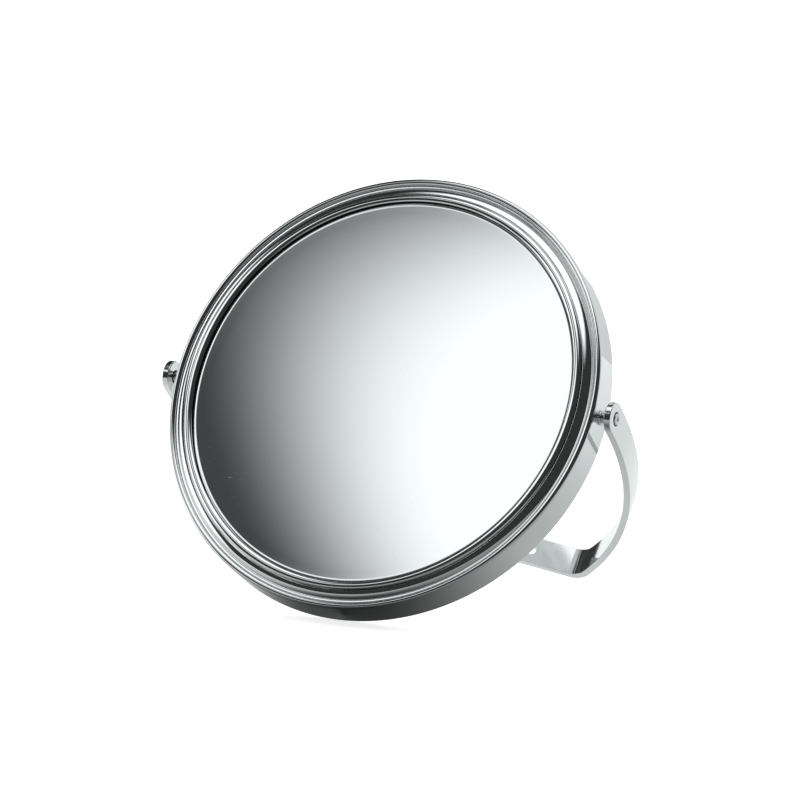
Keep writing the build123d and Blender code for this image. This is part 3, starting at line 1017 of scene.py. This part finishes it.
def card_material():
    """What the chrome sees of the table: painted shade, dark where the mirror shades it, and painted light, pale
    further off and brighter to one side.
    """
    mat = bpy.data.materials.new("table_card")
    mat.use_nodes = True
    n = Nodes(mat.node_tree)
    place = n.add("ShaderNodeTexCoord").outputs["Object"]
    shift = n.add("ShaderNodeVectorMath", operation="SUBTRACT")
    n.join(place, shift.inputs[0])
    shift.inputs[1].default_value = CONTACT
    away = n.add("ShaderNodeVectorMath", operation="LENGTH")
    n.join(shift.outputs[0], away.inputs[0])
    unit = n.add("ShaderNodeVectorMath", operation="NORMALIZE")
    n.join(shift.outputs[0], unit.inputs[0])
    near = n.ramp(away.outputs["Value"], *SHADE_REACH, *SHADE_LEVELS)
    far = n.ramp(away.outputs["Value"], *OPEN_REACH, *OPEN_LEVELS)
    side = n.ramp(n.dot(unit.outputs[0], BRIGHT_SIDE), -1.0, 1.0, *SIDE_LEVELS, "LINEAR")
    level = n.math("MULTIPLY", n.math("ADD", near, far), side)
    light = n.add("ShaderNodeEmission")
    n.join(level, light.inputs["Strength"])
    light.inputs["Color"].default_value = (0.96, 1.0, 0.99, 1.0)
    out = n.add("ShaderNodeOutputMaterial")
    n.join(light.outputs[0], out.inputs["Surface"])
    return mat


card = stage_object(
    "table_card",
    [(x * CARD_HALF, y * CARD_HALF, CARD_Z) for x, y in ((-1, -1), (1, -1), (1, 1), (-1, 1))],
    [[0, 1, 2, 3]],
    card_material(),
)
card.visible_camera = False
card.visible_diffuse = False
card.visible_shadow = False
card.visible_transmission = False


def toward(azimuth, elevation):
    """Direction from the object: azimuth 0 is the viewer's side, positive to the viewer's right."""
    a, e = math.radians(azimuth), math.radians(elevation)
    return (math.sin(a) * math.cos(e), -math.cos(a) * math.cos(e), math.sin(e))


ROOM = 0.035
# Soft panels: azimuth, half width, elevation, half height, feather (degrees) and level.
PANELS = [
    (-82, 27, 3, 17, 2.5, 1.3),
    (158, 42, 20, 45, 7, 0.7),
]
# Round glows: azimuth, elevation, inner and outer angle (degrees) and level.
GLOWS = [
    (-15, 82, 20, 28, 1.25),
    (-34, 45, 9, 22, 0.03),
]
# The oval softbox that the front glass shows, in degrees about a direction near it.
BOX_AZIMUTH = -40.0
BOX_ELEVATION = 45.0
BOX_LEFT = 19.8
BOX_DROP = 1.9
BOX_SQUASH = 3.18  # how much wider than tall
BOX_INNER = 19.5
BOX_OUTER = 30.0
BOX_LEVEL = 1.17


def studio(world):
    """A dim room with soft panels, an oval softbox and round glows."""
    world.use_nodes = True
    n = Nodes(world.node_tree)
    ray = n.add("ShaderNodeTexCoord").outputs["Generated"]
    height = n.degrees("ARCSINE", n.dot(ray, (0.0, 0.0, 1.0)))
    total = None
    for azimuth, wide, elevation, tall, feather, level in PANELS:
        x = n.dot(ray, toward(azimuth, 0))
        y = n.dot(ray, toward(azimuth + 90, 0))
        turn = n.math("ABSOLUTE", n.degrees("ARCTAN2", y, x))
        rise = n.math("ABSOLUTE", n.math("SUBTRACT", height, float(elevation)))
        a = n.ramp(turn, wide - feather, wide + feather, 1.0, 0.0)
        b = n.ramp(rise, tall - feather, tall + feather, level, 0.0)
        glow = n.math("MULTIPLY", a, b)
        total = glow if total is None else n.math("ADD", total, glow)
    across = n.degrees("ARCSINE", n.dot(ray, toward(BOX_AZIMUTH + 90, 0)))
    upward = n.degrees("ARCSINE", n.dot(ray, toward(BOX_AZIMUTH, BOX_ELEVATION + 90)))
    across = n.math("ADD", across, BOX_LEFT)
    upward = n.math("MULTIPLY", n.math("ADD", upward, BOX_DROP), BOX_SQUASH)
    square = n.math("ADD", n.math("MULTIPLY", across, across), n.math("MULTIPLY", upward, upward))
    total = n.math("ADD", total, n.ramp(n.math("SQRT", square), BOX_INNER, BOX_OUTER, BOX_LEVEL, 0.0))
    for azimuth, elevation, inner, outer, level in GLOWS:
        c = n.dot(ray, toward(azimuth, elevation))
        angle = n.degrees("ARCCOSINE", n.math("MINIMUM", c, 1.0))
        total = n.math("ADD", total, n.ramp(angle, inner, outer, level, 0.0))
    total = n.math("ADD", total, ROOM)
    light = n.add("ShaderNodeBackground")
    light.inputs["Color"].default_value = (0.97, 0.99, 1.0, 1.0)
    n.join(total, light.inputs["Strength"])
    out = n.add("ShaderNodeOutputWorld")
    n.join(light.outputs[0], out.inputs["Surface"])


world = bpy.data.worlds.new("studio")
bpy.context.scene.world = world
studio(world)

# ---------------------------------------------------------------- camera
AZIMUTH, ELEVATION, ROLL = (math.radians(v) for v in (25.8, 9.8, 0.77))
DISTANCE = 1.83175  # metres from the camera to the middle of the drum, along the line of sight
PIVOT_RIGHT = -0.0043596  # metres from the line of sight to the middle of the drum
PIVOT_UP = 0.0009525
LENS = 225.0
SENSOR = 36.0
NEAR_CLIP = 0.05
right = np.array([math.cos(AZIMUTH), math.sin(AZIMUTH), 0.0])
ahead = np.array([
    -math.sin(AZIMUTH) * math.cos(ELEVATION),
    math.cos(AZIMUTH) * math.cos(ELEVATION),
    -math.sin(ELEVATION),
])
up = np.cross(right, ahead)
x_axis = math.cos(ROLL) * right + math.sin(ROLL) * up
y_axis = -math.sin(ROLL) * right + math.cos(ROLL) * up
offset = PIVOT_RIGHT * x_axis + PIVOT_UP * y_axis + DISTANCE * ahead
camera_data = bpy.data.cameras.new("camera")
camera_data.sensor_width = SENSOR
camera_data.lens = LENS
camera_data.clip_start = NEAR_CLIP
camera = bpy.data.objects.new("camera", camera_data)
bpy.context.scene.collection.objects.link(camera)
basis = Matrix([[x_axis[i], y_axis[i], -ahead[i]] for i in range(3)]).to_4x4()
camera.matrix_world = Matrix.Translation(Vector(pivot * MM - offset)) @ basis
bpy.context.scene.camera = camera
bpy.context.scene.view_settings.view_transform = "Standard"
